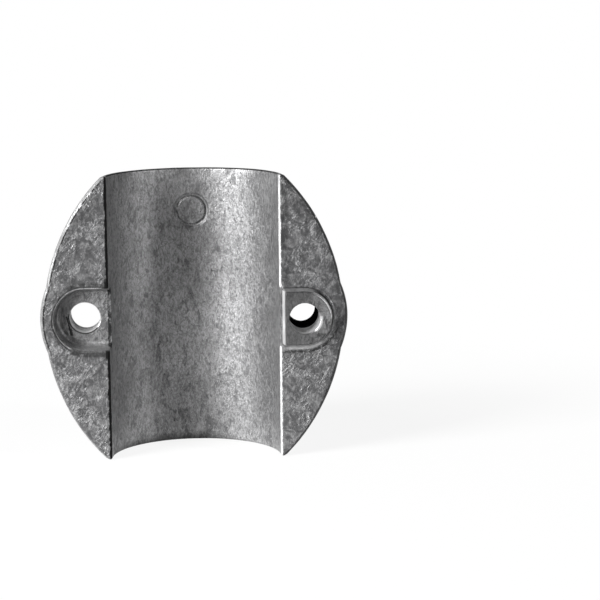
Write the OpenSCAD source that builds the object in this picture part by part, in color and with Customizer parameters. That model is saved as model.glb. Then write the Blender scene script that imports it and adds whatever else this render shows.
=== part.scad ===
// Half shell of a split sacrificial anode that clamps round a propeller shaft.
// Two of these castings make one anode: given half a turn about the shaft, the same
// casting mates with itself, each boss in the other half's recess, under two screws.
// The shaft axis is Z, the parting plane is y = 0 and the metal lies on the +Y side.

/* [Shaft bore] */
// Diameter of the shaft that the anode clamps
bore_d = 50; // [40:1:60]
// Chamfer along the two long edges of the bore
bore_edge_chamfer = 0.7; // [0.3:0.1:1.2]
// Chamfer round the bore at each end
bore_end_chamfer = 0.4; // [0.2:0.1:0.6]

/* [Barrel] */
// Length along the shaft
length = 84.6; // [74:0.2:110]
// Wall at mid-length, from the bore to the barrel under the belt
wall_mid = 19.2; // [18:0.1:24]
// Wall left at each end, where the barrel runs down to the shaft
wall_end = 1.6; // [1.4:0.1:3]
// Height of the belt above the barrel at mid-length
belt_rise = 1.2; // [0.6:0.1:2]
// Width of the belt between its two creases
belt_width = 19.6; // [14:0.2:28]
// Chamfer where the barrel meets the parting plane
rim_chamfer = 0.9; // [0.3:0.1:1]
// Width of the softened edge between each end and the barrel
end_edge = 0.6; // [0.2:0.1:0.8]

/* [Screws] */
// Thread diameter of the two clamping screws
screw_d = 8; // [6:1:9]
// Distance from the bore wall to each screw axis
screw_offset = 7.4; // [7:0.1:8.5]
// Diameter of the washer under each screw head and nut
washer_d = 16; // [12:1:17]
// Gap all round the washer in its pocket
washer_gap = 1; // [0.5:0.1:1.5]
// Slack of the screw hole over the screw
hole_slack = 1; // [0.8:0.1:2]
// Slack of the narrow end of the boss hole over the screw
guide_slack = 0.2; // [0.2:0.1:0.6]
// Depth of the step between the two in the boss hole, below the parting plane
guide_depth = 11; // [6:0.5:13]
// Depth of the head pocket's floor below the parting plane
head_seat_depth = 15; // [12:0.5:17]
// Depth of the nut pocket's floor below the parting plane
nut_seat_depth = 17.5; // [14:0.5:20]

/* [Boss and recess] */
// Height of the locating boss above the parting plane
boss_height = 3.8; // [2.5:0.1:5]
// Half width of the locating boss at its flat top
boss_top_r = 7.9; // [7.5:0.1:8.2]
// Radius at the foot of the boss
boss_foot_radius = 1; // [0.5:0.1:1.5]
// Softened edge round the top of the boss
boss_top_edge = 0.3; // [0.1:0.1:0.6]
// Distance from the bore wall to the flat side of the boss, at the parting plane
boss_flat_gap = 0.9; // [0.2:0.1:1.4]
// Draft of the boss and recess walls, in degrees
draft = 14; // [3:0.5:18]
// Draft of the flat side of the boss, in degrees
flat_draft = 12; // [5:1:20]
// Gap all round the boss in the other half's recess
locating_gap = 0.4; // [0.3:0.1:1.5]
// Gap between the top of the boss and the floor of the recess
bottom_gap = 1; // [0.3:0.1:1.5]
// Bevel round the rim of the recess, which clears the foot of the boss
recess_rim_bevel = 0.3; // [0.2:0.1:0.8]
// Softened corner between the recess wall and its floor
recess_floor_edge = 0.5; // [0.2:0.1:1]

/* [Ejector mark] */
// Outer diameter of the ring that the ejector left in the bore
mark_d = 10.4; // [8:0.1:14]
// Width of that ring's groove
mark_groove = 1.1; // [0.6:0.1:2]
// Depth of that ring's groove
mark_depth = 0.5; // [0.1:0.1:0.6]
// Distance of the mark's centre below the upper end
mark_drop = 13; // [9:0.5:30]
// Distance of the mark's centre from the middle of the bore, towards the recess
mark_shift = 0.4; // [-6:0.1:6]

/* [Hidden] */
$fn = 128;

bore_r = bore_d / 2;
half_length = length / 2;
end_r = bore_r + wall_end;
barrel_r = bore_r + wall_mid;
belt_r = barrel_r + belt_rise;
screw_x = bore_r + screw_offset;
pocket_r = washer_d / 2 + washer_gap;
hole_r = (screw_d + hole_slack) / 2;
guide_r = (screw_d + guide_slack) / 2;

// The barrel is an arc in section, and so is the belt over it.
barrel_arc_r = arc_radius(half_length, barrel_r - end_r);
belt_half = belt_width / 2;
belt_arc_r = arc_radius(belt_half, belt_r - barrel_at(belt_half));
barrel_centre = barrel_r - barrel_arc_r;
belt_centre = belt_r - belt_arc_r;

// Boss and recess taper alike, so the recess follows the boss with its gaps.
boss_base_r = boss_top_r + boss_height * tan(draft);
recess_rim_r = boss_base_r + locating_gap;
recess_depth = boss_height + bottom_gap;
boss_flat_x = bore_r + boss_flat_gap;

// Overlap that joins solids cleanly, and the overshoot of a cut past a face.
bite = 1.5;
over = 1;
// The foot radius dips this far under the parting plane, so it meets it cleanly.
foot_dip = 0.03;
// The end edge's slope lies midway between the flat end and the barrel there.
end_slope = asin(half_length / barrel_arc_r) / 2;

function arc_radius(half_chord, rise) = (half_chord * half_chord + rise * rise) / (2 * rise);
function barrel_at(z) = barrel_r - barrel_arc_r + sqrt(barrel_arc_r * barrel_arc_r - z * z);

// Section through the wall, in the plane of the shaft axis.
module wall_section() {
    reach = belt_r - end_r + end_edge + over;
    drop = reach * tan(end_slope);
    intersection() {
        union() {
            translate([barrel_centre, 0]) circle(r = barrel_arc_r);
            translate([belt_centre, 0]) circle(r = belt_arc_r);
        }
        polygon([
            [bore_r, bore_end_chamfer - half_length],
            [bore_r + bore_end_chamfer, -half_length],
            [end_r - end_edge, -half_length],
            [end_r - end_edge + reach, drop - half_length],
            [end_r - end_edge + reach, half_length - drop],
            [end_r - end_edge, half_length],
            [bore_r + bore_end_chamfer, half_length],
            [bore_r, half_length - bore_end_chamfer]
        ]);
    }
}

// A cone that opens from the parting plane at 45 degrees, round an arc of the outline.
module opening_cone(centre_x, r) {
    depth = belt_r + over;
    translate([centre_x, 0, 0]) rotate([-90, 0, 0]) cylinder(h = depth, r1 = r, r2 = r + depth);
}

// What the rim chamfer leaves on one side: the outline is an arc of the barrel and one of the belt.
module chamfered_outline(side) {
    opening_cone(side * barrel_centre, barrel_arc_r - rim_chamfer);
    opening_cone(side * belt_centre, belt_arc_r - rim_chamfer);
}

// The plain half barrel with its rim and bore edges chamfered.
module half_barrel() {
    difference() {
        intersection() {
            rotate_extrude(angle = 180) wall_section();
            chamfered_outline(1);
            chamfered_outline(-1);
        }
        for (side = [-1, 1]) bore_edge_cut(side);
    }
}

module bore_edge_cut(side) {
    square_side = bore_edge_chamfer * sqrt(2);
    translate([side * bore_r, 0, 0]) rotate([0, 0, 45])
        cube([square_side, square_side, length + 2 * over], center = true);
}

// Turns a half section into a U-shaped solid: round at +X, straight towards -X.
module u_form(straight) {
    rotate_extrude(angle = 180, start = -90) children();
    rotate([90, 0, -90]) linear_extrude(height = straight) {
        children();
        mirror([1, 0]) children();
    }
}

// Half section of the boss, height upwards from the parting plane.
module boss_section() {
    foot_x = boss_base_r + boss_foot_radius * (1 - sin(draft)) / cos(draft);
    foot_y = boss_foot_radius - foot_dip;
    polygon([
        [0, -bite],
        [boss_base_r + bite * tan(draft), -bite],
        [boss_top_r + boss_top_edge * tan(draft), boss_height - boss_top_edge],
        [boss_top_r - boss_top_edge, boss_height],
        [0, boss_height]
    ]);
    difference() {
        polygon([
            [boss_top_r / 2, -bite],
            [foot_x, -bite],
            [foot_x, foot_y],
            [foot_x - boss_foot_radius * cos(draft), foot_y - boss_foot_radius * sin(draft)],
            [boss_top_r / 2, foot_y - boss_foot_radius * sin(draft)]
        ]);
        translate([foot_x, foot_y]) circle(r = boss_foot_radius);
    }
}

// The locating boss, with its flat side along the edge of the bore.
module boss() {
    lean = tan(flat_draft);
    intersection() {
        translate([screw_x, 0, 0]) rotate([90, 0, 0]) u_form(screw_offset + bite) boss_section();
        linear_extrude(height = 4 * boss_base_r, center = true)
            polygon([
                [boss_flat_x + boss_height * lean, -boss_height],
                [boss_flat_x - bite * lean, bite],
                [belt_r, bite],
                [belt_r, -boss_height]
            ]);
    }
}

// Half section of the recess, depth upwards from the parting plane.
module recess_section() {
    lean = tan(draft);
    polygon([
        [0, -over],
        [recess_rim_r + recess_rim_bevel + over, -over],
        [recess_rim_r - recess_rim_bevel * lean, recess_rim_bevel],
        [recess_rim_r - (recess_depth - recess_floor_edge) * lean, recess_depth - recess_floor_edge],
        [recess_rim_r - recess_depth * lean - recess_floor_edge, recess_depth],
        [0, recess_depth]
    ]);
}

// The recess that takes the other half's boss, open to the bore.
module recess_cut() {
    translate([-screw_x, 0, 0]) rotate([90, 0, 180])
        u_form(screw_offset + bore_edge_chamfer + bite) recess_section();
}

// A round hole along Y from one depth to another.
module hole(x, r, from_y, to_y) {
    translate([x, from_y, 0]) rotate([-90, 0, 0]) cylinder(h = to_y - from_y, r = r);
}

// Through hole and outer pocket of the screw on the recess side.
module head_side_cut() {
    hole(-screw_x, hole_r, 0, head_seat_depth + over);
    hole(-screw_x, pocket_r, head_seat_depth, belt_r + over);
}

// Stepped through hole and outer pocket of the screw on the boss side.
module nut_side_cut() {
    hole(screw_x, hole_r, -boss_height - over, guide_depth);
    hole(screw_x, guide_r, 0, nut_seat_depth + over);
    hole(screw_x, pocket_r, nut_seat_depth, belt_r + over);
}

// The shallow ring that the ejector left in the bore wall.
module ejector_mark_cut() {
    intersection() {
        cylinder(h = length, r = bore_r + mark_depth, center = true);
        difference() {
            mark_hole(mark_d / 2);
            mark_hole(mark_d / 2 - mark_groove);
        }
    }
}

module mark_hole(r) {
    translate([0, 0, half_length - mark_drop]) hole(-mark_shift, r, 0, bore_r + over);
}

module half_shell() {
    color("darkgray") difference() {
        union() {
            half_barrel();
            boss();
        }
        cylinder(h = length + 2 * over, r = bore_r, center = true);
        recess_cut();
        head_side_cut();
        nut_side_cut();
        ejector_mark_cut();
    }
}

half_shell();
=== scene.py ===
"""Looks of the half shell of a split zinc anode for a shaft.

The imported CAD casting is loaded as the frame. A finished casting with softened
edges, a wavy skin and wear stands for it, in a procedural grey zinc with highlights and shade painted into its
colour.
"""

import math
from contextlib import contextmanager

import bmesh
import bpy
from bpy.props import FloatProperty, FloatVectorProperty, IntProperty, PointerProperty
from mathutils import Matrix, Vector, noise


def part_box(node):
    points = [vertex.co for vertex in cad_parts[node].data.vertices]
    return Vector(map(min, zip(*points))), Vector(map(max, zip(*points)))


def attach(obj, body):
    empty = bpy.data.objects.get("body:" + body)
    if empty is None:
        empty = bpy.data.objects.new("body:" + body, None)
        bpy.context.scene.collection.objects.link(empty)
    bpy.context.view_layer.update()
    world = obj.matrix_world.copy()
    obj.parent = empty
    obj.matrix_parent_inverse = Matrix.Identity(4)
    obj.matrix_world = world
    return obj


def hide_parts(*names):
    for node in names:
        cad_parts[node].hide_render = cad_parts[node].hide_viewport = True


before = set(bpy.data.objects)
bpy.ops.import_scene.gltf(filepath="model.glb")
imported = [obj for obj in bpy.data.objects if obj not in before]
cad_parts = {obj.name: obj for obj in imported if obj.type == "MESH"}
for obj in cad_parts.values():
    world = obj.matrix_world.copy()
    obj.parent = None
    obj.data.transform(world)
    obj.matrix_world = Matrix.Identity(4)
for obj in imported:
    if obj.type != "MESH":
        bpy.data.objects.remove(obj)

bl_info = {
    "name": "Anode half shell",
    "version": (1, 0, 0),
    "blender": (4, 5, 0),
    "location": "3D View > Sidebar > Anode",
    "description": "Finishes the half shell casting and sets up its studio",
    "category": "Object",
}

MM = 0.001
NODE = "half_shell"
LOWEST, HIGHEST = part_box(NODE)
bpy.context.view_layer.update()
IMAGE_SIZE = 600

# Sizes of the casting, as in its source
HALF_LENGTH = HIGHEST.z
BORE_R = 25.0 * MM
END_R = 26.6 * MM
BARREL_R = 44.2 * MM
BELT_R = 45.4 * MM
BELT_HALF = 9.8 * MM
SCREW_X = 32.4 * MM
HOLE_R = 4.5 * MM
POCKET_R = 9.0 * MM
RECESS_RIM_R = 9.25 * MM
RECESS_DEPTH = 4.8 * MM
RECESS_SLOPE = math.tan(math.radians(14))
BOSS_FOOT_R = 9.5 * MM
BOSS_TOP_R = 7.9 * MM
MARK_SHIFT = 0.4 * MM
MARK_Z = HALF_LENGTH - 13 * MM

# Where the gouge beside the recess's hole crosses mid-height, and its lean to the left upwards
GOUGE_X = -37.65 * MM
GOUGE_LEAN = 0.2

# Some of these sizes in millimetres, in which the masks give their lengths
BORE = BORE_R / MM
HOLE = HOLE_R / MM
RIM = RECESS_RIM_R / MM
FOOT = BOSS_FOOT_R / MM
TOP = BOSS_TOP_R / MM
END = HALF_LENGTH / MM

# The two sides of the casting, by the sign of x
RECESS_SIDE = -1
BOSS_SIDE = 1


def arc_radius(half_chord, rise):
    return (half_chord**2 + rise**2) / (2 * rise)


def barrel_at(z):
    return BARREL_R - BARREL_ARC + math.sqrt(max(BARREL_ARC**2 - z**2, 0))


def outside_at(z):
    """Radius of the casting's outside at a height."""
    belt = BELT_R - BELT_ARC + math.sqrt(max(BELT_ARC**2 - z**2, 0))
    return max(barrel_at(z), belt)


BARREL_ARC = arc_radius(HALF_LENGTH, BARREL_R - END_R)
BELT_ARC = arc_radius(BELT_HALF, BELT_R - barrel_at(BELT_HALF))


# Properties


class CastingProperties(bpy.types.PropertyGroup):
    """Sizes of the finished casting's skin"""

    voxel: FloatProperty(
        name="Skin resolution",
        description="Voxel size at which the casting's skin is rebuilt",
        default=0.27 * MM,
        unit="LENGTH",
    )
    smoothing: IntProperty(
        name="Edge softness",
        description="Smoothing passes that round the cast edges",
        default=2,
        min=0,
    )
    pocket_smoothing: IntProperty(
        name="Pocket edge softness",
        description="Smoothing passes for the knife edges of the screw pockets",
        default=10,
        min=0,
    )
    kept_share: FloatProperty(
        name="Kept triangles",
        description="Share of the rebuilt skin's triangles that is kept",
        default=0.228,
        subtype="FACTOR",
    )
    floor_radius: FloatProperty(
        name="Recess floor radius",
        description="Radius between the recess's wall and its floor",
        default=1.5 * MM,
        unit="LENGTH",
    )
    swell: FloatProperty(
        name="Swell",
        description="Height of the long waves in the cast skin",
        default=0.05 * MM,
        unit="LENGTH",
    )
    swell_length: FloatProperty(
        name="Swell length",
        description="Length of those long waves",
        default=9 * MM,
        unit="LENGTH",
    )
    ripple: FloatProperty(
        name="Ripple",
        description="Height of the short ripples in the cast skin",
        default=0.02 * MM,
        unit="LENGTH",
    )
    ripple_length: FloatProperty(
        name="Ripple length",
        description="Length of those short ripples",
        default=2.2 * MM,
        unit="LENGTH",
    )


class ZincProperties(bpy.types.PropertyGroup):
    """Colours and finish of the cast zinc"""

    dull: FloatVectorProperty(
        name="Dull grey",
        description="Main grey of the weathered cast skin",
        subtype="COLOR",
        default=(0.23, 0.23, 0.232),
        min=0,
        max=1,
    )
    pale: FloatVectorProperty(
        name="Pale grey",
        description="Paler grey where the skin is cleaner",
        subtype="COLOR",
        default=(0.31, 0.31, 0.313),
        min=0,
        max=1,
    )
    # Dark grey also paints shade: the parting face darker towards its top
    dark: FloatVectorProperty(
        name="Dark oxide",
        description="Dark grey of the oxide blotches and pits",
        subtype="COLOR",
        default=(0.07, 0.07, 0.072),
        min=0,
        max=1,
    )
    # Near-black also paints shade and shadows: on edges turned from the lamps, in the recess, under a hole's
    # rim and deep in the boss's screw hole
    black: FloatVectorProperty(
        name="Black oxide",
        description="Nearly black oxide in corners that nothing rubs",
        subtype="COLOR",
        default=(0.012, 0.012, 0.012),
        min=0,
        max=1,
    )
    # Painted highlight: this bright grey paints the highlights and lit patches on edges, walls and hole rims
    highlight_grey: FloatVectorProperty(
        name="Fresh zinc",
        description="Bright grey where handling has rubbed the skin away",
        subtype="COLOR",
        default=(0.85, 0.85, 0.855),
        min=0,
        max=1,
    )
    worn: FloatVectorProperty(
        name="Worn edge",
        description="Bright grey of the rubbed edges",
        subtype="COLOR",
        default=(0.52, 0.52, 0.525),
        min=0,
        max=1,
    )
    metal: FloatProperty(
        name="Metallic",
        description="How metallic the skin is under its oxide",
        default=0.68,
        subtype="FACTOR",
    )
    roughness: FloatProperty(
        name="Roughness",
        description="Mean roughness of the skin",
        default=0.44,
        subtype="FACTOR",
    )


class StageProperties(bpy.types.PropertyGroup):
    """Floor, lamps and camera"""

    floor_colour: FloatVectorProperty(
        name="Floor",
        description="Colour of the floor",
        subtype="COLOR",
        default=(0.9, 0.9, 0.9),
        min=0,
        max=1,
    )
    floor_half: FloatProperty(
        name="Floor reach",
        description="Distance from the middle of the paper sheet to its edge",
        default=0.3,
        unit="LENGTH",
    )
    key_power: FloatProperty(
        name="Key lamp",
        description="Power of the large lamp on the left",
        default=78,
        unit="POWER",
    )
    fill_power: FloatProperty(
        name="Fill lamp",
        description="Power of the narrow lamp on the right",
        default=13,
        unit="POWER",
    )
    camera_place: FloatVectorProperty(
        name="Camera",
        description="Where the camera stands",
        subtype="TRANSLATION",
        default=(-0.00089, -0.57513, 0.09930),
    )
    camera_yaw: FloatProperty(
        name="Yaw",
        description="Turn of the camera to its right",
        default=math.radians(3.19),
        subtype="ANGLE",
    )
    camera_pitch: FloatProperty(
        name="Pitch",
        description="Tilt of the camera downwards",
        default=math.radians(9.30),
        subtype="ANGLE",
    )
    camera_roll: FloatProperty(
        name="Roll",
        description="Roll of the camera",
        default=math.radians(-0.516),
        subtype="ANGLE",
    )
    focal_pixels: FloatProperty(
        name="Focal length",
        description="Focal length in pixels of the square image",
        default=1978.3,
    )


# Helpers


def new_object(name, mesh):
    obj = bpy.data.objects.new(name, mesh)
    bpy.context.scene.collection.objects.link(obj)
    return obj


def apply_modifiers(obj):
    graph = bpy.context.evaluated_depsgraph_get()
    done = bpy.data.meshes.new_from_object(obj.evaluated_get(graph))
    obj.modifiers.clear()
    old = obj.data
    obj.data = done
    bpy.data.meshes.remove(old)


@contextmanager
def editing(mesh):
    """Opens a mesh for editing, with its normals, and writes it back."""
    shape = bmesh.new()
    shape.from_mesh(mesh)
    shape.normal_update()
    yield shape
    shape.to_mesh(mesh)
    shape.free()


class Shader:
    """Short calls that add the nodes of one material"""

    # The colour sockets of a Mix node
    MIX_INPUTS = (6, 7)
    MIX_OUTPUT = 2

    def __init__(self, name):
        self.material = bpy.data.materials.new(name)
        self.material.use_nodes = True
        self.tree = self.material.node_tree
        self.tree.nodes.clear()
        self.place = self.add("ShaderNodeTexCoord").outputs["Object"]

    def add(self, kind, **settings):
        node = self.tree.nodes.new(kind)
        for key, value in settings.items():
            setattr(node, key, value)
        return node

    def link(self, value, socket):
        if isinstance(value, bpy.types.NodeSocket):
            self.tree.links.new(value, socket)
        elif isinstance(value, (tuple, list)) and len(value) == 3 and socket.type == "RGBA":
            socket.default_value = (*value, 1)
        else:
            socket.default_value = value

    def finish(self, surface):
        out = self.add("ShaderNodeOutputMaterial")
        self.link(surface, out.inputs["Surface"])
        return self.material

    # Patterns

    def mapped(self, scale=(1, 1, 1), shift=(0, 0, 0), slant=0.0):
        """The point's place, turned by a slant about the depth axis and then scaled."""
        place = self.place
        if slant:
            turned = self.add("ShaderNodeMapping")
            self.link(place, turned.inputs["Vector"])
            turned.inputs["Rotation"].default_value = (0, slant, 0)
            place = turned.outputs["Vector"]
        node = self.add("ShaderNodeMapping")
        self.link(place, node.inputs["Vector"])
        node.inputs["Location"].default_value = shift
        node.inputs["Scale"].default_value = scale
        return node.outputs["Vector"]

    def noise(self, size, detail=3.0, rough=0.5, distortion=0.0, stretch=(1, 1, 1), shift=0.0, slant=0.0):
        node = self.add("ShaderNodeTexNoise")
        self.link(self.mapped(stretch, (shift, shift, shift), slant), node.inputs["Vector"])
        node.inputs["Scale"].default_value = 1 / size
        node.inputs["Detail"].default_value = detail
        node.inputs["Roughness"].default_value = rough
        node.inputs["Distortion"].default_value = distortion
        return node.outputs["Fac"]

    def cells(self, size):
        """Distance from the nearest of many scattered points, in cell sizes."""
        node = self.add("ShaderNodeTexVoronoi", feature="F1")
        self.link(self.mapped(), node.inputs["Vector"])
        node.inputs["Scale"].default_value = 1 / size
        return node.outputs["Distance"]

    def attribute(self, name):
        return self.add("ShaderNodeAttribute", attribute_name=name).outputs["Fac"]

    # Sums

    def maths(self, operation, *values):
        node = self.add("ShaderNodeMath", operation=operation)
        for value, socket in zip(values, node.inputs):
            self.link(value, socket)
        return node.outputs[0]

    def product(self, *values):
        total = values[0]
        for value in values[1:]:
            total = self.maths("MULTIPLY", total, value)
        return total

    def length(self, a, b):
        squares = self.maths("ADD", self.maths("MULTIPLY", a, a), self.maths("MULTIPLY", b, b))
        return self.maths("SQRT", squares)

    def faded(self, value, mask):
        """The value, less the share of it that the mask takes away."""
        return self.maths("MULTIPLY", self.maths("SUBTRACT", 1.0, mask), value)

    def strongest(self, pairs):
        """The greatest of several masks, each with its strength."""
        total = None
        for mask, strength in pairs:
            part = self.maths("MULTIPLY", mask, strength)
            total = part if total is None else self.maths("MAXIMUM", total, part)
        return total

    # Masks

    def ramp(self, value, low, high):
        """Runs smoothly from zero at low to one at high; high may be the smaller."""
        node = self.add("ShaderNodeMapRange", clamp=True, interpolation_type="SMOOTHSTEP")
        self.link(value, node.inputs["Value"])
        node.inputs["From Min"].default_value = low
        node.inputs["From Max"].default_value = high
        return node.outputs["Result"]

    def past(self, value, start, full):
        """A ramp on a length, between two lengths in millimetres."""
        return self.ramp(value, start * MM, full * MM)

    def band(self, value, low, high, soft):
        """One between two lengths in millimetres, fading out over soft on both sides."""
        return self.product(self.past(value, low - soft, low), self.past(value, high + soft, high))

    def threads(self, value, edge, core):
        """Thin wandering lines where a noise crosses its mean."""
        return self.ramp(self.maths("ABSOLUTE", self.maths("SUBTRACT", value, 0.5)), edge, core)

    # Colour and relief

    def mix(self, factor, a, b):
        node = self.add("ShaderNodeMix", data_type="RGBA")
        self.link(factor, node.inputs["Factor"])
        for value, index in zip((a, b), self.MIX_INPUTS):
            self.link(value, node.inputs[index])
        return node.outputs[self.MIX_OUTPUT]

    def bump(self, height, strength, distance, below=None):
        node = self.add("ShaderNodeBump")
        node.inputs["Strength"].default_value = strength
        node.inputs["Distance"].default_value = distance
        self.link(height, node.inputs["Height"])
        if below is not None:
            self.link(below, node.inputs["Normal"])
        return node.outputs["Normal"]


# Zinc


class Places:
    """What the masks share: a point's place on the casting, its distances and two noises"""

    def __init__(self, s, wander, patch):
        self.shader = s
        split = s.add("ShaderNodeSeparateXYZ")
        s.link(s.place, split.inputs[0])
        self.x, self.y, self.z = split.outputs
        self.wander = wander
        self.patch = patch
        self.height = s.maths("ABSOLUTE", self.z)
        self.shaft = s.length(self.x, self.y)
        self.hole = self.from_screw(RECESS_SIDE)
        self.boss_hole = self.from_screw(BOSS_SIDE)
        self.recess = self.from_path(RECESS_SIDE)
        self.boss = self.from_path(BOSS_SIDE)
        self.rim = self.from_rim()
        self.inset = self.inside_outline(self.x, self.z)
        self.on_left = s.past(self.x, -25.4, -26)
        self.on_right = s.past(self.x, 25.4, 26)
        self.in_bore = s.past(self.shaft, BORE + 0.8, BORE + 0.5)
        self.near_face = s.product(s.past(self.y, 0.7, 0.4), s.past(self.y, -0.6, -0.2))

    def past_screw(self, side):
        """How far a point lies further out than the screw axis on one side."""
        s = self.shader
        return s.maths("SUBTRACT", s.maths("MULTIPLY", self.x, side), SCREW_X)

    def from_screw(self, side):
        """Distance from the screw axis on one side."""
        return self.shader.length(self.past_screw(side), self.z)

    def from_path(self, side):
        """Distance from the line from that screw axis to the bore, as the boss and recess run."""
        s = self.shader
        return s.length(s.maths("MAXIMUM", self.past_screw(side), 0.0), self.z)

    def from_rim(self):
        """How far a point of the parting plane lies outside the recess's rim, which the straight
        sides show a little wider than its round end."""
        s = self.shader
        wider = s.maths("MULTIPLY", s.past(self.x, -41, -36), 0.35 * MM)
        return s.maths("SUBTRACT", s.maths("SUBTRACT", self.recess, wider), RECESS_RIM_R)

    def inside_outline(self, across, z):
        """How far a point lies inside the barrel and belt arcs, across being its distance
        from the shaft axis or, on the parting plane, its x."""
        s = self.shader
        across = s.maths("ABSOLUTE", across)
        depths = []
        for crown, arc in ((BARREL_R, BARREL_ARC), (BELT_R, BELT_ARC)):
            from_centre = s.length(s.maths("SUBTRACT", across, crown - arc), z)
            depths.append(s.maths("SUBTRACT", arc, from_centre))
        return s.maths("MAXIMUM", *depths)

    def ruffled(self, reach):
        """The point's x, ruffled by the wandering noise over a reach in millimetres."""
        s = self.shader
        return s.maths("MULTIPLY_ADD", s.maths("SUBTRACT", self.wander, 0.5), reach * MM, self.x)


# How far the noise ruffles the edge of the black oxide and painted shade, and of the painted highlights, in
# millimetres
RUFFLE_OF_SHADE_AND_OXIDE = 1.1
RUFFLE_OF_HIGHLIGHTS = 0.4


def recess_shade_and_oxide(s, at):
    """Black on the recess side: painted shade along the bore edge and in the recess, painted shadows in the
    recess and under its hole, dark lines along the sill and round the rim, smudges, and oxide in the gouge.
    """
    x, y, z = at.x, at.y, at.z
    edge = at.ruffled(RUFFLE_OF_SHADE_AND_OXIDE)
    off_recess = s.product(s.past(y, 1.2, 0.8), s.past(at.height, RIM - 0.3, RIM + 0.2))
    on_face = s.product(s.past(x, -25.2, -26), at.near_face)
    above_floor = s.past(y, 5.6, 5.2)
    on_floor = s.band(y, 4.4, 5.4, 0.4)
    lean = s.maths("SUBTRACT", s.maths("MULTIPLY_ADD", z, GOUGE_LEAN, edge), GOUGE_X)

    # Painted shade: black along the bore edge's chamfer, which faces away from the key lamp, widening near the
    # recess
    bore_edge = s.product(s.band(edge, -BORE - 0.75, -BORE - 0.05, 0.12), off_recess)
    corner = s.product(
        s.band(edge, -BORE - 1.25, -BORE - 0.1, 0.12), off_recess, s.past(at.height, 13, 11)
    )
    sill = s.product(
        s.band(edge, -BORE - 0.55, -BORE + 0.35, 0.15), s.band(y, 3.4, 5, 0.3),
        s.ramp(at.patch, 0.4, 0.52), s.past(at.height, RIM, RIM - 0.4),
    )
    outline = s.product(s.band(at.rim, 0.1, 0.45, 0.18), on_face, s.ramp(at.wander, 0.3, 0.42))
    smudge = s.product(
        s.band(at.rim, 0.2, 1.1, 0.6), on_face, s.past(at.height, 4, 7), s.ramp(at.patch, 0.44, 0.52)
    )
    # Painted shadow: the round end of the recess darkens the floor beside it, as the key lamp's shadow
    round_end = s.product(
        s.past(at.recess, RIM - 0.2, RIM - 0.6), s.past(x, -29, -38), s.past(y, 0.4, 1.2), above_floor
    )
    # Painted shade: darker in the corner of the recess's floor near its round end
    low_corner = s.product(
        s.band(at.recess, RIM - 2.3, RIM - 1.5, 0.6), s.past(x, -29, -36), s.past(y, 1.2, 2.4), above_floor
    )
    # Painted shadow: black under the lower rim of the recess's hole
    hole_rim_shadow = s.product(
        s.band(at.hole, HOLE - 0.1, HOLE + 0.35, 0.12), s.band(y, 4.5, 5.1, 0.2),
        s.past(s.maths("MULTIPLY_ADD", x, 0.5, z), -16.6, -17.6),
    )
    gouge = s.product(s.band(lean, -0.16, 0.16, 0.12), s.band(z, -5.3, 0.4, 0.2), on_floor)
    blot = s.product(s.band(lean, -0.1, 0.6, 0.2), s.band(z, -5.2, -3.4, 0.4), on_floor)
    return [
        (bore_edge, 1.0), (corner, 1.0), (sill, 0.95), (outline, 0.75), (smudge, 0.75),
        (round_end, 0.4), (low_corner, 0.66), (hole_rim_shadow, 0.95), (gouge, 0.95), (blot, 0.9),
    ]


def boss_shade_and_oxide(s, at):
    """Black round the boss: painted shadow on its outer wall, painted shade deep in its screw hole, dark lines
    below its foot and along its upper wall, a tool ring and faint marks on its face.
    """
    x, y, z = at.x, at.y, at.z
    on_wall = s.product(s.past(at.boss, TOP - 0.1, TOP + 0.1), s.past(y, -0.2, -0.5))
    upper_wall = s.product(
        on_wall, s.past(z, 3, 6), s.past(x, 26.4, 26.9), s.past(x, 38, 35)
    )
    on_top = s.past(y, -3.2, -3.5)

    under_boss = s.product(
        s.band(at.boss, FOOT + 0.8, FOOT + 1.2, 0.25), s.past(z, -2, -5), s.past(x, 25.5, 26.5),
        at.near_face, s.ramp(at.wander, 0.36, 0.5),
    )
    upper_edge = s.product(upper_wall, s.past(y, -3, -3.2))
    foot_line = s.product(upper_wall, s.past(y, -0.8, -0.6))
    # Painted shadow: black on the boss's wall turned from the key lamp, on its right
    outer_wall = s.product(
        on_wall, s.past(x, 34.5, 37), s.past(z, -3.4, -2.2), s.band(y, -2.4, -0.9, 0.25)
    )
    beside_boss = s.product(
        s.band(x, BORE - 0.05, BORE + 0.8, 0.1), s.past(at.height, 8.9, 8.5), s.band(y, -0.1, 0.8, 0.1)
    )
    tool_ring = s.product(
        s.band(at.boss_hole, 5.25, 5.45, 0.12), s.past(s.maths("ADD", x, z), 31, 29),
        s.past(y, -3.4, -3.6),
    )
    # Painted shade: black deep in the boss's screw hole, where no light reaches
    deep = s.product(s.past(at.boss_hole, HOLE + 0.3, HOLE + 0.2), s.band(y, 6.5, 17.4, 0.3))
    return [
        (under_boss, 0.75), (upper_edge, 0.85), (foot_line, 0.7), (outer_wall, 0.92),
        (beside_boss, 0.3), (tool_ring, 0.4), (deep, 1.0),
        (s.product(on_top, s.past(x, 46, 28)), 0.68),
        (s.product(on_top, s.ramp(at.wander, 0.42, 0.56), s.past(x, 44, 30)), 0.65),
        (s.product(on_top, s.ramp(at.patch, 0.52, 0.6)), 0.75),
    ]


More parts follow.
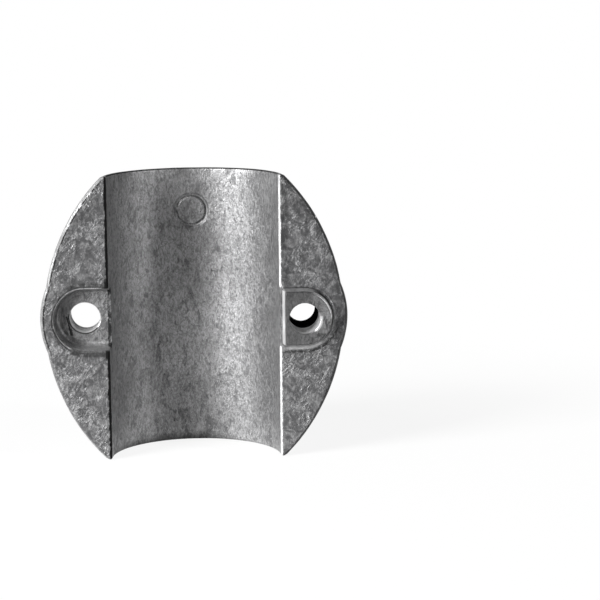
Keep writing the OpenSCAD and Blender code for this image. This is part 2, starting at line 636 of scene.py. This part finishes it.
def rim_shade_and_oxide(s, at):
    """Dark marks on the outer rims, beside the bore, at its ends and in the ejector mark's groove: painted
    shade on the boss side's outer rim, at the bore's lower end and in the groove.
    """
    x, y, z = at.x, at.y, at.z
    edge = at.ruffled(RUFFLE_OF_SHADE_AND_OXIDE)
    ruffled_inset = s.maths("ADD", at.inset, s.maths("SUBTRACT", x, edge))
    from_mark = s.length(s.maths("ADD", x, MARK_SHIFT), s.maths("SUBTRACT", z, MARK_Z))

    # Painted shade: black along the boss side's outer rim, which faces away from the key lamp
    boss_rim = s.product(s.past(ruffled_inset, 0.95, 0.75), at.on_right, s.past(y, 1, 0.8))
    recess_rim = s.product(
        s.band(at.inset, 0.9, 1.2, 0.1), at.on_left, s.past(y, 0.3, 0.2),
        s.ramp(at.wander, 0.34, 0.46), s.past(z, -14, -7),
    )
    margin = s.product(
        s.past(at.inset, 3.2, 1.2), at.on_right, s.past(y, 0.5, 0.3),
        s.ramp(at.patch, 0.4, 0.56), s.past(z, -16, -2),
    )
    bore_side = s.product(
        s.band(edge, BORE + 0.7, BORE + 2.2, 1.2), s.past(z, 9.7, 12), s.past(y, 0.3, 0.15),
        s.ramp(at.patch, 0.38, 0.55),
    )
    upper_end = s.product(s.past(z, END - 0.6, END - 0.35), s.past(y, 2, 4), at.in_bore)
    # Painted shade: darker at the bore's lower end, whose edge faces down
    lower_end = s.product(s.past(z, 3.4 - END, 0.1 - END), s.past(x, 14, 2), s.past(y, 1, 2), at.in_bore)
    # Painted shade: dark in the ejector mark's groove
    groove = s.product(
        s.band(from_mark, 4.2, 4.5, 0.2), s.past(y, 15, 16), at.in_bore, s.ramp(at.wander, 0.3, 0.5)
    )
    return [
        (boss_rim, 0.8), (recess_rim, 0.95), (margin, 0.45), (bore_side, 0.6), (upper_end, 0.9),
        (lower_end, 0.75), (groove, 0.7),
    ]


def rubbed(s, at):
    """Painted highlights and light, in a bright grey: the boss side's bore edge, the boss's flat side and
    edges, the light under and over the boss, the rims of the recess and the holes, the holes' walls, there
    partly real burnish, and the outer rim beside the recess."""
    x, y, z = at.x, at.y, at.z
    both_holes = s.maths("MINIMUM", at.boss_hole, at.hole)
    past_holes = s.maths("SUBTRACT", s.maths("ABSOLUTE", x), SCREW_X - HOLE_R)

    bore_edge = s.product(
        s.band(at.ruffled(RUFFLE_OF_HIGHLIGHTS), BORE + 0.04, BORE + 0.52, 0.08), s.band(y, -0.2, 0.8, 0.1),
        s.past(at.height, FOOT - 0.9, FOOT - 0.3),
    )
    flat_side = s.product(
        s.band(y, -3.5, -0.25, 0.1), s.past(x, BORE + 1.65, BORE + 1.5), s.past(at.height, TOP + 0.2, TOP)
    )
    boss_edge = s.product(
        s.past(at.boss_hole, TOP - 0.3, TOP - 0.2), s.past(y, -2.6, -2.8), s.past(x, 34, 36),
        s.past(z, -0.4, 0.8),
    )
    boss_under = s.product(
        s.band(at.boss, TOP + 0.2, FOOT + 0.3, 0.1), s.past(x, BORE + 2, BORE + 3),
        s.past(s.maths("MULTIPLY_ADD", z, 2.0, x), 28, 18), s.band(y, -3.3, 0.1, 0.2),
    )
    boss_over = s.product(
        s.past(at.boss, TOP - 0.1, TOP + 0.1), s.past(z, 4, 6), s.past(x, 37, 35),
        s.band(y, -3, -0.8, 0.2),
    )
    hole_mouth = s.product(
        s.band(at.boss_hole, HOLE - 0.2, HOLE + 0.75, 0.15), s.past(y, -3, -3.4),
        s.past(x, 34.4, 35.6), s.band(z, -3.6, 0.4, 0.6),
    )
    hole_walls = s.product(
        s.past(past_holes, -1, 0), s.band(y, -3.4, 6.4, 0.2), s.past(both_holes, 4.7, 4.6)
    )
    recess_hole = s.product(
        s.past(at.hole, HOLE + 0.3, HOLE + 0.2), s.band(y, 4.9, 12, 0.2), s.past(z, 0, -2)
    )
    recess_rim = s.product(
        s.band(at.rim, -0.34, -0.02, 0.1), s.past(x, -26.5, -28), s.past(y, 0.7, 0.5),
        s.past(s.maths("MULTIPLY_ADD", z, -1.5, x), -22, -25),
    )
    recess_wall = s.product(
        s.past(at.recess, 6.8, 7.4), s.past(z, -4, -6.5), s.past(x, -37, -33),
        s.past(x, -25, -25.6), s.band(y, 0.6, 4.9, 0.2),
    )
    outer_rim = s.product(
        s.past(at.inset, 0.85, 0.7), at.on_left, s.past(y, 1.2, 1), s.past(z, -8, 0)
    )
    return [
        (bore_edge, 0.8), (flat_side, 0.85), (boss_edge, 0.9), (boss_under, 0.3), (boss_over, 0.18),
        (hole_mouth, 0.85), (hole_walls, 0.45), (recess_hole, 0.7), (recess_rim, 0.4),
        (s.product(recess_rim, s.past(x, -37, -40)), 0.9), (recess_wall, 0.1), (outer_rim, 0.12),
    ]


def cast_zinc(zinc):
    """Mottled grey cast zinc: oxide patches, crinkled areas, flecks, veins, pits and a grained skin, with
    highlights and shade painted in.
    """
    s = Shader("cast_zinc")

    # Patterns over the whole casting, from coarse to fine
    clouds = s.noise(12 * MM, detail=2, shift=0.7)
    patch = s.noise(2.6 * MM, detail=6, rough=0.68, distortion=0.4, stretch=(1, 1, 0.6))
    fleck = s.noise(1.15 * MM, detail=5, rough=0.65, distortion=1.4, stretch=(1, 1, 0.6), shift=0.3)
    peel = s.noise(0.5 * MM, detail=3, rough=0.6, distortion=0.8, stretch=(1, 1, 0.5), shift=1.1)
    grain = s.noise(0.3 * MM, detail=2, shift=1.3)
    vein = s.threads(s.noise(7 * MM, detail=4, distortion=1.2, shift=2.3), 0.02, 0.004)
    vein = s.maths("MULTIPLY", vein, s.ramp(clouds, 0.45, 0.6))
    pits = s.maths("MULTIPLY", s.ramp(s.cells(1.7 * MM), 0.17, 0.08), s.ramp(patch, 0.5, 0.62))

    # Patterns of the mating face
    at = Places(s, fleck, patch)
    face = s.product(s.past(at.y, 0.6, 0.3), s.past(at.y, -1.2, -0.8))
    stain = s.noise(3.4 * MM, detail=7, rough=0.72, distortion=0.9, shift=4.1)
    coarse = s.product(face, s.ramp(s.noise(6 * MM, detail=2, rough=0.6, shift=6.2), 0.45, 0.56))
    crinkle = s.noise(
        0.7 * MM, detail=4, rough=0.65, distortion=1.1, stretch=(1, 1, 0.4), shift=5.3, slant=math.radians(-38)
    )
    recess_floor = s.product(s.band(at.y, 4.6, 5.1, 0.2), s.past(at.x, -34, -30), s.past(at.x, -24, -24.5))

    # The outside is smoother, with thin squiggles
    outside = s.product(s.past(at.inside_outline(at.shaft, at.z), 1.2, 0.7), s.past(at.y, 0.8, 1.2))
    squiggle = s.product(
        s.threads(s.noise(2.6 * MM, detail=3, distortion=1.6, shift=7.4), 0.02, 0.008), outside,
        s.ramp(s.noise(9 * MM, detail=2, shift=8.5), 0.53, 0.6),
    )
    calm = s.faded(1.0, s.maths("MULTIPLY", outside, 0.6))
    fine = s.faded(calm, s.maths("MULTIPLY", face, 0.4))

    # Black oxide together with painted shade and shadows, from the three sets of masks
    oxide_and_painted_shade = s.strongest(recess_shade_and_oxide(s, at) + boss_shade_and_oxide(s, at) + rim_shade_and_oxide(s, at))
    tone = s.mix(s.ramp(clouds, 0.32, 0.68), tuple(zinc.dull), tuple(zinc.pale))
    for mask, strength, colour in (
        (outside, 0.2, zinc.worn),
        (s.product(calm, s.ramp(patch, 0.53, 0.62)), 0.58, zinc.dark),
        (s.product(face, s.ramp(stain, 0.43, 0.54)), 0.82, zinc.dark),
        (s.product(coarse, s.ramp(crinkle, 0.52, 0.57)), 0.7, zinc.dark),
        (s.product(coarse, s.ramp(crinkle, 0.46, 0.41)), 0.3, zinc.worn),
        (s.product(recess_floor, s.ramp(crinkle, 0.52, 0.56)), 0.8, zinc.dark),
        (s.product(face, s.past(at.x, 20, -20)), 0.12, zinc.dark),
        # Painted shade: the parting face darker towards its top, its lower half lit by the floor
        (s.product(face, s.past(at.z, -45, 0)), 0.27, zinc.dark),
        (s.product(calm, s.ramp(fleck, 0.515, 0.58)), 0.4, zinc.dark),
        (s.product(calm, s.ramp(fleck, 0.47, 0.39)), 0.2, zinc.worn),
        (s.product(fine, s.ramp(peel, 0.49, 0.6)), 0.5, zinc.dark),
        (squiggle, 0.75, zinc.dark),
        (vein, 0.5, zinc.dark),
        (pits, 0.75, zinc.dark),
        (s.ramp(s.attribute("rim"), 0.2, 0.9), 0.3, zinc.worn),
        # Painted highlights and light on edges, walls and hole rims, in a bright grey
        (s.strongest(rubbed(s, at)), 1.0, zinc.highlight_grey),
        (oxide_and_painted_shade, 1.0, zinc.black),
    ):
        tone = s.mix(s.maths("MULTIPLY", mask, strength), tone, tuple(colour))

    # Relief, with its depth in millimetres
    normal = None
    for height, strength, depth in (
        (patch, 0.3, 0.3),
        (s.product(crinkle, s.maths("ADD", coarse, 0.3)), 0.8, 0.22),
        (s.product(calm, fleck), 0.4, 0.18),
        (s.product(fine, peel), 0.6, 0.15),
        (s.faded(1.0, squiggle), 0.6, 0.12),
        (grain, 0.45, 0.05),
        (s.faded(1.0, pits), 0.8, 0.15),
    ):
        normal = s.bump(height, strength, depth * MM, normal)

    covered = s.ramp(oxide_and_painted_shade, 0.5, 0.95)
    skin = s.add("ShaderNodeBsdfPrincipled")
    s.link(tone, skin.inputs["Base Color"])
    s.link(s.faded(zinc.metal, covered), skin.inputs["Metallic"])
    s.link(s.faded(0.5, covered), skin.inputs["Specular IOR Level"])
    rough = s.maths("MULTIPLY_ADD", s.ramp(patch, 0.42, 0.66), 0.24, zinc.roughness - 0.1)
    s.link(rough, skin.inputs["Roughness"])
    s.link(normal, skin.inputs["Normal"])
    return s.finish(skin.outputs["BSDF"])


# Casting


# How squarely the smoothed skin must face the bore, the barrel or the parting plane, and how
# far it may lie from it, to be put back on it
BORE_MATCH = 0.975
BARREL_MATCH = 0.985
PLANE_MATCH = 0.99
TRUE_REACH = 0.12 * MM
BARREL_REACH = 0.156 * MM

# How near a pocket's wall and the barrel a point counts as part of the pocket's knife edge
KNIFE_FROM_WALL = 1.1 * MM
KNIFE_DEPTH = 1.3 * MM
POCKETS_FROM_Y = 8 * MM


def merged_copy(node):
    """A copy of the CAD casting with its loose triangles joined."""
    shape = bmesh.new()
    shape.from_mesh(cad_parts[node].data)
    bmesh.ops.remove_doubles(shape, verts=shape.verts, dist=0.001 * MM)
    mesh = bpy.data.meshes.new("casting")
    shape.to_mesh(mesh)
    shape.free()
    return mesh


def rebuild_skin(piece, voxel):
    """Rebuilds the casting in small even faces that smoothing and waves can shape."""
    remesh = piece.modifiers.new("skin", "REMESH")
    remesh.mode = "VOXEL"
    remesh.voxel_size = voxel
    remesh.use_smooth_shade = True
    apply_modifiers(piece)


def smooth(shape, verts, passes):
    for _ in range(passes):
        bmesh.ops.smooth_vert(
            shape, verts=verts, factor=0.5, use_axis_x=True, use_axis_y=True, use_axis_z=True
        )


def true_up(shape):
    """Puts the smoothed skin back on the bore, the barrel and the parting plane, off the edges."""
    for vert in shape.verts:
        co, normal = vert.co, vert.normal
        across = math.hypot(co.x, co.y)
        outward = Vector((co.x, co.y, 0)) / max(across, 1e-9)
        facing = normal.dot(outward)
        if facing < -BORE_MATCH and abs(across - BORE_R) < TRUE_REACH:
            vert.co += outward * (BORE_R - across)
        elif facing > 0.6:
            step = outside_at(co.z) - across
            slope = (outside_at(co.z + 0.2 * MM) - outside_at(co.z - 0.2 * MM)) / (0.4 * MM)
            skin = (outward - Vector((0, 0, slope))).normalized()
            if abs(step) < BARREL_REACH and normal.dot(skin) > BARREL_MATCH:
                vert.co += skin * step * skin.dot(outward)
        elif normal.y < -PLANE_MATCH and abs(co.y) < TRUE_REACH:
            vert.co.y = 0


def knife_edges(shape):
    """The points near the edges where the screw pockets break through the barrel."""
    found = []
    for vert in shape.verts:
        co = vert.co
        from_wall = math.hypot(abs(co.x) - SCREW_X, co.z) - POCKET_R
        depth = outside_at(co.z) - math.hypot(co.x, co.y)
        if co.y > POCKETS_FROM_Y and abs(from_wall) < KNIFE_FROM_WALL and depth < KNIFE_DEPTH:
            found.append(vert)
    return found


def round_recess_floor(shape, radius):
    """Fills the corner between the recess's wall and its floor with a rounded fillet."""
    deep = RECESS_DEPTH - radius
    reach = RECESS_RIM_R - deep * RECESS_SLOPE - radius * math.hypot(1, RECESS_SLOPE)
    for vert in shape.verts:
        co = vert.co
        aside = min(co.x + SCREW_X, 0)
        from_path = math.hypot(aside, co.z)
        across, down = from_path - reach, co.y - deep
        away = math.hypot(across, down)
        beside_bore = co.x < -BORE_R + 1 * MM
        in_recess = beside_bore and co.y < RECESS_DEPTH + 0.2 * MM and from_path < RECESS_RIM_R
        in_corner = across > 0 and down > across * RECESS_SLOPE and away > radius
        if in_recess and in_corner and vert.normal.x < 0.8:
            pull = radius / away
            beside = reach + across * pull
            if from_path > 1e-9:
                co.x = co.x if aside == 0 else -SCREW_X + aside * beside / from_path
                co.z *= beside / from_path
            co.y = deep + down * pull


def ruffle(shape, casting):
    """Long waves and short ripples in the skin, inwards only, as the metal shrank in the mould."""
    shift = Vector((3.1, 7.7, 1.9))
    for vert in shape.verts:
        wave = noise.noise(vert.co / casting.swell_length + shift)
        ripple = noise.noise(vert.co / casting.ripple_length - shift)
        depth = casting.swell * (1 + wave) + casting.ripple * (1 + ripple)
        vert.co -= vert.normal * depth


def dent(shape, place, reach, depth, push):
    """Presses the skin near a place in, along push."""
    aim = Vector(push).normalized()
    for vert in shape.verts:
        near = 1 - (vert.co - Vector(place)).length / reach
        if near > 0:
            vert.co += aim * depth * min(near * 1.6, 1)


def damage(shape):
    """The nick in the outer rim beside the boss and the gouge in the recess's floor."""
    dent(shape, (36.4 * MM, 0, 29.6 * MM), reach=1.1 * MM, depth=0.6 * MM, push=(-0.8, 0.5, -0.3))
    for step in range(12):
        z = (0.3 - 0.5 * step) * MM
        place = (GOUGE_X - GOUGE_LEAN * z, RECESS_DEPTH, z)
        dent(shape, place, reach=0.5 * MM, depth=0.2 * MM, push=(0.1, 1, 0))


def mark_rims(shape):
    """Stores how convex the skin is at each point, for the rubbed edges."""
    layer = shape.verts.layers.float.new("rim")
    for vert in shape.verts:
        others = [edge.other_vert(vert).co for edge in vert.link_edges]
        if others:
            mean = sum(others, Vector()) / len(others)
            reach = sum((o - vert.co).length for o in others) / len(others)
            vert[layer] = (vert.co - mean).dot(vert.normal) / max(reach, 1e-9) * 4


class ANODE_OT_half_shell(bpy.types.Operator):
    """Finish the half shell: a softened, slightly uneven casting in grey zinc"""

    bl_idname = "anode.half_shell"
    bl_label = "Half shell"

    def execute(self, context):
        casting = context.scene.anode_casting
        piece = new_object("half_shell_casting", merged_copy(NODE))
        rebuild_skin(piece, casting.voxel)
        with editing(piece.data) as shape:
            smooth(shape, shape.verts, casting.smoothing)
        with editing(piece.data) as shape:
            true_up(shape)
            smooth(shape, knife_edges(shape), casting.pocket_smoothing)
        with editing(piece.data) as shape:
            round_recess_floor(shape, casting.floor_radius)
        with editing(piece.data) as shape:
            ruffle(shape, casting)
            damage(shape)
        thin = piece.modifiers.new("thin", "DECIMATE")
        thin.ratio = casting.kept_share
        apply_modifiers(piece)
        with editing(piece.data) as shape:
            mark_rims(shape)
        if not piece.data.polygons:
            raise RuntimeError("the casting has no faces")
        piece.data.shade_smooth()
        piece.data.materials.clear()
        piece.data.materials.append(cast_zinc(context.scene.anode_zinc))
        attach(piece, "root")
        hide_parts(NODE)
        return {"FINISHED"}


# Stage


def camera_turn(stage):
    """The camera's axes as columns: right, up and back."""
    yaw = Matrix.Rotation(stage.camera_yaw, 3, "Z")
    pitch = Matrix.Rotation(stage.camera_pitch, 3, "X")
    roll = Matrix.Rotation(stage.camera_roll, 3, "Y")
    view = roll @ pitch @ yaw
    right, ahead, up = view.row[0], view.row[1], view.row[2]
    return Matrix((right, up, -ahead)).transposed()


def set_camera(stage):
    lens = bpy.data.cameras.new("camera")
    lens.lens = stage.focal_pixels * lens.sensor_width / IMAGE_SIZE
    lens.clip_start = 0.01
    lens.clip_end = 100
    camera = new_object("camera", lens)
    camera.matrix_world = Matrix.Translation(stage.camera_place) @ camera_turn(stage).to_4x4()
    bpy.context.scene.camera = camera


def set_range(node, from_min, from_max, to_min, to_max):
    """Sets the four limits of a Map Range node."""
    limits = {"From Min": from_min, "From Max": from_max, "To Min": to_min, "To Max": to_max}
    for name, value in limits.items():
        node.inputs[name].default_value = value


def floor_paper(stage):
    """White paper that keeps a soft shadow; it shows white to the camera and in the metal."""
    s = Shader("floor_paper")
    paper = s.add("ShaderNodeBsdfDiffuse")
    s.link(tuple(stage.floor_colour), paper.inputs["Color"])
    glow = s.add("ShaderNodeEmission")
    s.link((1, 1, 1), glow.inputs["Color"])
    path = s.add("ShaderNodeLightPath")
    seen = s.maths("MAXIMUM", path.outputs["Is Camera Ray"], path.outputs["Is Glossy Ray"])
    seen = s.maths("MAXIMUM", seen, path.outputs["Is Transmission Ray"])

    # The paper's own shading shows a little near the casting, and not at all further away
    away = s.add("ShaderNodeVectorMath", operation="LENGTH")
    s.link(s.place, away.inputs[0])
    share = s.add("ShaderNodeMapRange", clamp=True)
    s.link(away.outputs["Value"], share.inputs["Value"])
    set_range(share, 0.09, 0.22, 0.88, 1.0)

    blend = s.add("ShaderNodeMixShader")
    s.link(s.maths("MULTIPLY", seen, share.outputs["Result"]), blend.inputs[0])
    s.link(paper.outputs[0], blend.inputs[1])
    s.link(glow.outputs[0], blend.inputs[2])
    return s.finish(blend.outputs[0])


def studio_world(front, behind, above):
    """The room: dim in front, pale behind on the left, dimmer above, and white where the camera sees it."""
    world = bpy.data.worlds.new("studio")
    world.use_nodes = True
    tree = world.node_tree
    air = tree.nodes["Background"]
    air.inputs["Color"].default_value = (1, 1, 1, 1)
    place = tree.nodes.new("ShaderNodeTexCoord")
    split = tree.nodes.new("ShaderNodeSeparateXYZ")
    path = tree.nodes.new("ShaderNodeLightPath")
    tree.links.new(place.outputs["Generated"], split.inputs[0])

    def level(axis, low, high, first, last):
        node = tree.nodes.new("ShaderNodeMapRange")
        set_range(node, low, high, first, last)
        tree.links.new(split.outputs[axis], node.inputs["Value"])
        return node.outputs["Result"]

    def maths(operation, a, b):
        node = tree.nodes.new("ShaderNodeMath")
        node.operation = operation
        tree.links.new(a, node.inputs[0])
        tree.links.new(b, node.inputs[1])
        return node.outputs[0]

    room = maths("MULTIPLY", level("Y", -0.4, 0.9, front, behind), level("Z", 0.0, 0.8, 1.0, above))
    room = maths("MULTIPLY", room, level("X", -0.2, 0.2, 2.0, 0.6))
    tree.links.new(maths("MAXIMUM", room, path.outputs["Is Camera Ray"]), air.inputs["Strength"])
    bpy.context.scene.world = world


def soft_lamp(name, place, aim, width, height, watts):
    light = bpy.data.lights.new(name, "AREA")
    light.shape = "RECTANGLE"
    light.size = width
    light.size_y = height
    light.energy = watts
    lamp = new_object(name, light)
    lamp.location = place
    lamp.rotation_euler = (Vector(aim) - Vector(place)).to_track_quat("-Z", "Y").to_euler()


class ANODE_OT_stage(bpy.types.Operator):
    """Set the floor, the soft lamps and the camera"""

    bl_idname = "anode.stage"
    bl_label = "Stage"

    def execute(self, context):
        stage = context.scene.anode_stage
        set_camera(stage)
        mesh = bpy.data.meshes.new("floor")
        with editing(mesh) as shape:
            bmesh.ops.create_grid(shape, x_segments=1, y_segments=1, size=stage.floor_half)
            bmesh.ops.translate(shape, verts=shape.verts, vec=(0, 0, LOWEST.z))
        mesh.materials.append(floor_paper(stage))
        floor = new_object("floor", mesh)
        if not mesh.polygons:
            raise RuntimeError("the floor has no faces")
        studio_world(front=0.05, behind=0.5, above=0.15)
        soft_lamp(
            "key", (-1.34, -0.92, 0.6), aim=(0, 0.01, 0.01), width=0.7, height=1.2, watts=stage.key_power
        )
        soft_lamp(
            "fill", (1.32, -0.7, 0.5), aim=(0, 0.01, 0), width=0.2, height=1.0, watts=stage.fill_power
        )
        context.scene.view_settings.view_transform = "Standard"
        return {"FINISHED"}


class ANODE_PT_panel(bpy.types.Panel):
    """Lists the operators in the 3D view's sidebar"""

    bl_idname = "ANODE_PT_panel"
    bl_label = "Anode half shell"
    bl_space_type = "VIEW_3D"
    bl_region_type = "UI"
    bl_category = "Anode"

    def draw(self, context):
        for operator in (ANODE_OT_half_shell, ANODE_OT_stage):
            self.layout.operator(operator.bl_idname)


CLASSES = (
    CastingProperties,
    ZincProperties,
    StageProperties,
    ANODE_OT_half_shell,
    ANODE_OT_stage,
    ANODE_PT_panel,
)


def register():
    for cls in CLASSES:
        bpy.utils.register_class(cls)
    bpy.types.Scene.anode_casting = PointerProperty(type=CastingProperties)
    bpy.types.Scene.anode_zinc = PointerProperty(type=ZincProperties)
    bpy.types.Scene.anode_stage = PointerProperty(type=StageProperties)


def unregister():
    del bpy.types.Scene.anode_stage
    del bpy.types.Scene.anode_zinc
    del bpy.types.Scene.anode_casting
    for cls in reversed(CLASSES):
        bpy.utils.unregister_class(cls)


def main():
    register()
    bpy.ops.anode.half_shell()
    bpy.ops.anode.stage()


if __name__ == "__main__":
    main()
